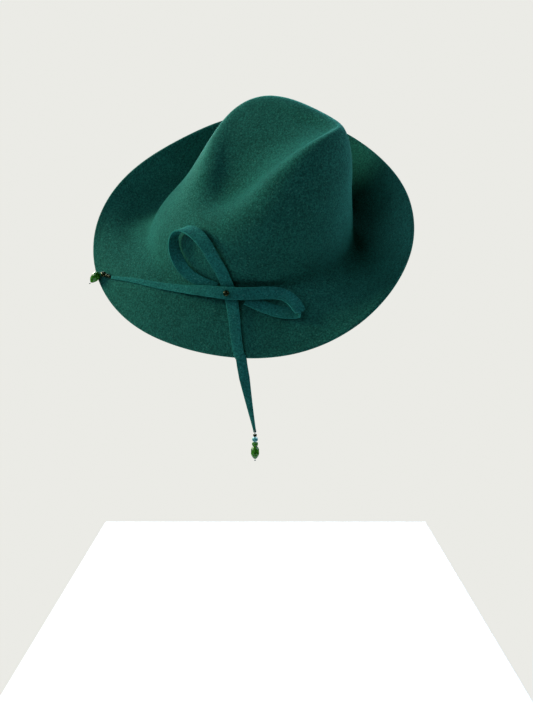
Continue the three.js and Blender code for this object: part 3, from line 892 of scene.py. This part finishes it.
# Cut outlines from top to bottom: share of the radius, share of the height, shift in facets.
RONDELLE_CUT = ((0.55, 0.50, 0), (0.84, 0.36, 0.5), (1, 0.10, 0), (1, -0.12, 0), (0.86, -0.38, 0.5),
                (0.62, -0.50, 0))
DROP_CUT = ((0.48, 0.50, 0), (0.76, 0.41, 0.5), (0.94, 0.26, 0), (1, 0.09, 0.5), (0.97, -0.08, 0),
            (0.82, -0.25, 0.5), (0.54, -0.40, 0), (0.24, -0.50, 0.5))
CUTS = {"rondelle": (RONDELLE_CUT, 10), "drop": (DROP_CUT, 8)}      # outline and number of sides


def centre_of(node):
    low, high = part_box(node)
    return np.array((low + high) / 2)


def placed(points, centre, axis):
    """Points made round the Z axis, moved to centre and turned so that Z runs against axis."""
    turn = UP_VECTOR.rotation_difference(-Vector(axis)).to_matrix()
    return np.asarray(points) @ np.array(turn).T + centre


def round_bead(name, centre, axis, radius, height, material):
    """A bored glass bead with a softened rim at each end of its bore."""
    turn = np.radians(np.linspace(90, -90, 17))
    shoulder = BORE + 0.22 * MM
    outer = np.stack([shoulder + (radius - shoulder) * np.cos(turn), height / 2 * np.sin(turn)], -1)
    lip = np.array([[BORE + 0.06 * MM, -height / 2 + 0.03 * MM], [BORE, -height / 2 + 0.2 * MM],
                    [BORE, height / 2 - 0.2 * MM], [BORE + 0.06 * MM, height / 2 - 0.03 * MM]])
    outline = np.vstack([outer, lip])
    around_axis = np.linspace(0, 2 * np.pi, 32, endpoint=False)[:, None]
    rings = np.stack([outline[:, 0] * np.cos(around_axis), outline[:, 0] * np.sin(around_axis),
                      np.broadcast_to(outline[:, 1], (32, len(outline)))], -1)
    faces = grid_faces(32, len(outline), True, True)
    return make_object(name, placed(rings.reshape(-1, 3), centre, axis), faces, material)


def faceted_bead(name, centre, axis, rings, sides, material):
    """A cut bead. Rings are radius, height and shift in facets, from top to bottom; bored through."""
    top, bottom = rings[0][1], rings[-1][1]
    rings = [(BORE, top, rings[0][2]), *rings, (BORE, bottom, rings[-1][2])]
    points = []
    for radius, height, shift in rings:
        for k in range(sides):
            turn = 2 * math.pi * (k + shift) / sides
            points.append((radius * math.cos(turn), radius * math.sin(turn), height))
    faces = []
    for i in range(len(rings)):
        after = (i + 1) % len(rings)
        here, there = i * sides, after * sides
        step = rings[after][2] - rings[i][2]
        for k in range(sides):
            n = (k + 1) % sides
            if step == 0:
                faces.append((here + k, here + n, there + n, there + k))
            elif step > 0:
                faces.append((here + k, here + n, there + k))
                faces.append((here + n, there + n, there + k))
            else:
                faces.append((here + k, there + n, there + k))
                faces.append((here + k, here + n, there + n))
    return make_object(name, placed(points, centre, axis), faces, material, smooth=False)


def cut_rings(cut, radius, height):
    return [(wide * radius, tall * height, shift) for wide, tall, shift in cut]


def end_knot(name, centre, radius, material):
    """A small overhand knot: a tight trefoil of thread."""
    turn = np.linspace(0, 2 * np.pi, 60, endpoint=False)
    line = np.stack([np.sin(turn) + 2 * np.sin(2 * turn), np.cos(turn) - 2 * np.cos(2 * turn),
                     -np.sin(3 * turn)], -1)
    line = line * radius * 0.23 + centre
    return swept(name, tube_sections(line, 0.24 * MM, 8, closed=True), material, closed_path=True)


def binding(name, centre, axis, half_width, turns, material):
    """Thread wound round a strip's tip."""
    steps = 12 * turns
    turn = np.arange(steps + 1) / 12 * 2 * np.pi
    helix = np.stack([half_width * np.cos(turn), 0.62 * half_width * np.sin(turn),
                      (np.arange(steps + 1) / steps - 0.5) * turns * 0.42 * MM], -1)
    return swept(name, tube_sections(placed(helix, centre, axis), 0.2 * MM, 8), material)


def stand_for(piece, node, body):
    """The piece takes a CAD node's place, and moves with a body."""
    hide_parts(node)
    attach(piece, body)


# ---- build ----
random.seed(7)
scene.view_settings.view_transform = "Standard"
add_camera()

FELT = felt_material("velour_felt", (0.006, 0.075, 0.055), (0.022, 0.185, 0.135), (0.07, 0.30, 0.22), 0.4)
# The strip felt's cut edges get a painted highlight colour.
STRIP_FELT = felt_material("strip_felt", (0.008, 0.115, 0.097), (0.024, 0.235, 0.195), (0.08, 0.36, 0.30),
                           0.3, edge_highlight_colour=(0.024, 0.235, 0.19))
PETERSHAM = petersham_material()
THREAD = thread_material("sewing_thread", (0.004, 0.022, 0.017), (0.010, 0.055, 0.042))
DARK_GLASS = glass_material("dark_glass", (0.002, 0.004, 0.001), (0.012, 0.02, 0.003), 0, 0.1,
                            glint=(0.85, 1, 0.45), gloss=0.4)
TURQUOISE = glass_material("turquoise_glass", (0.05, 0.38, 0.38), (0.14, 0.58, 0.56), 0.1, 0.15)
GREEN_GLASS = glass_material("green_glass", (0.010, 0.11, 0.004), (0.06, 0.30, 0.015), 0.05, 0.2, gloss=0.25)

back, tail, tail_path = back_strip_and_tail()
stand_for(back, "bow_back_strip", "hat")
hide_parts("hanging_tail")
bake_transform(tail)

felt = felt_hat()
stand_for(felt, "felt_body", "hat")

wire = swept("edge_wire", tube_sections(felt_ring(WIRE_LEVEL, WIRE_DEPTH), WIRE_RADIUS, 8, closed=True),
             wire_material(), closed_path=True)
stand_for(wire, "brim_wire", "hat")

stand_for(hem_stitches(), "hem_stitching", "hat")
stand_for(petersham_band(), "sweatband", "hat")
stand_for(band_stitches(), "sweatband_stitching", "hat")
stand_for(front_strip(), "bow_front_strip", "hat")

DOWN = np.array([0, 0, -1.0])
brim_axis = unit(centre_of("brim_seed_bead_b") - centre_of("brim_seed_bead_a"))
drop_axis = unit(np.array([0, -0.66, -0.75]))
knot_axis = over_felt(KNOT_PLACE)[1]

# Node, shape, axis, radius and height in millimetres, material, slot and body.
BEADS = [
    ("hanging_seed_bead", "round", DOWN, (1.6, 2.8), DARK_GLASS, "dark_glass", "bead_string"),
    ("hanging_round_bead", "round", DOWN, (2.5, 4.1), TURQUOISE, "turquoise_glass", "string_round_bead"),
    ("hanging_rondelle", "rondelle", DOWN, (2.7, 3.6), GREEN_GLASS, "green_glass", "string_rondelle"),
    ("hanging_drop", "drop", DOWN, (3.7, 11.4), GREEN_GLASS, "green_glass", "string_drop"),
    ("brim_seed_bead_a", "round", brim_axis, (1.6, 2.8), DARK_GLASS, "dark_glass", "hat"),
    ("brim_seed_bead_b", "round", brim_axis, (1.6, 2.8), DARK_GLASS, "dark_glass", "hat"),
    ("brim_round_bead", "round", brim_axis, (2.5, 4.8), DARK_GLASS, "dark_glass", "edge_round_bead"),
    ("brim_drop", "drop", drop_axis, (3.7, 11.4), GREEN_GLASS, "green_glass", "edge_drop"),
    ("knot_bead", "round", knot_axis, (2.6, 4.4), DARK_GLASS, "dark_glass", "hat"),
]
for node, kind, axis, (radius, height), material, slot, body in BEADS:
    name = f"{node}_glass"
    if kind == "round":
        bead = round_bead(name, centre_of(node), axis, radius * MM, height * MM, material)
    else:
        cut, sides = CUTS[kind]
        rings = cut_rings(cut, radius * MM, height * MM)
        bead = faceted_bead(name, centre_of(node), axis, rings, sides, material)
    stand_for(bead, node, body)

string_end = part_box("hanging_thread")[0].z
string_line = [TAIL_END, TAIL_END + DOWN * 10 * MM, [*TAIL_END[:2], string_end]]
string = plied_thread("bead_string_thread", string_line, THREAD)
stand_for(string, "hanging_thread", "bead_string")
string_knot = end_knot("bead_string_knot", centre_of("hanging_end_knot"), 0.8 * MM, THREAD)
stand_for(string_knot, "hanging_end_knot", "bead_string")
tail_binding = binding("tail_binding", TAIL_END + [0, 0, 1.2 * MM], DOWN, TAIL_END_WIDTH / 2, 5, THREAD)
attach(tail_binding, "tail")

brim_start = centre_of("brim_seed_bead_a") - brim_axis * 2.5 * MM
drop_start = centre_of("brim_drop") - drop_axis * 6.5 * MM
drop_end = centre_of("brim_drop") + drop_axis * 6.2 * MM
edge_line = [brim_start, centre_of("brim_round_bead"), drop_start, drop_end]
edge_thread = plied_thread("edge_bead_thread", edge_line, THREAD)
stand_for(edge_thread, "brim_thread", "hat")
edge_knot = end_knot("edge_bead_knot", centre_of("brim_end_knot"), 0.8 * MM, THREAD)
stand_for(edge_knot, "brim_end_knot", "hat")
knot_centre = centre_of("knot_bead")
knot_line = [knot_centre - knot_axis * 2.4 * MM, knot_centre, knot_centre + knot_axis * 2.4 * MM]
knot_thread = plied_thread("knot_bead_thread_plied", knot_line, THREAD)
stand_for(knot_thread, "knot_bead_thread", "hat")

add_plinth()
add_world(seen=(0.83, 0.83, 0.79), lighting=(0.93, 0.97, 1.0), strength=0.03)
add_studio_lights()
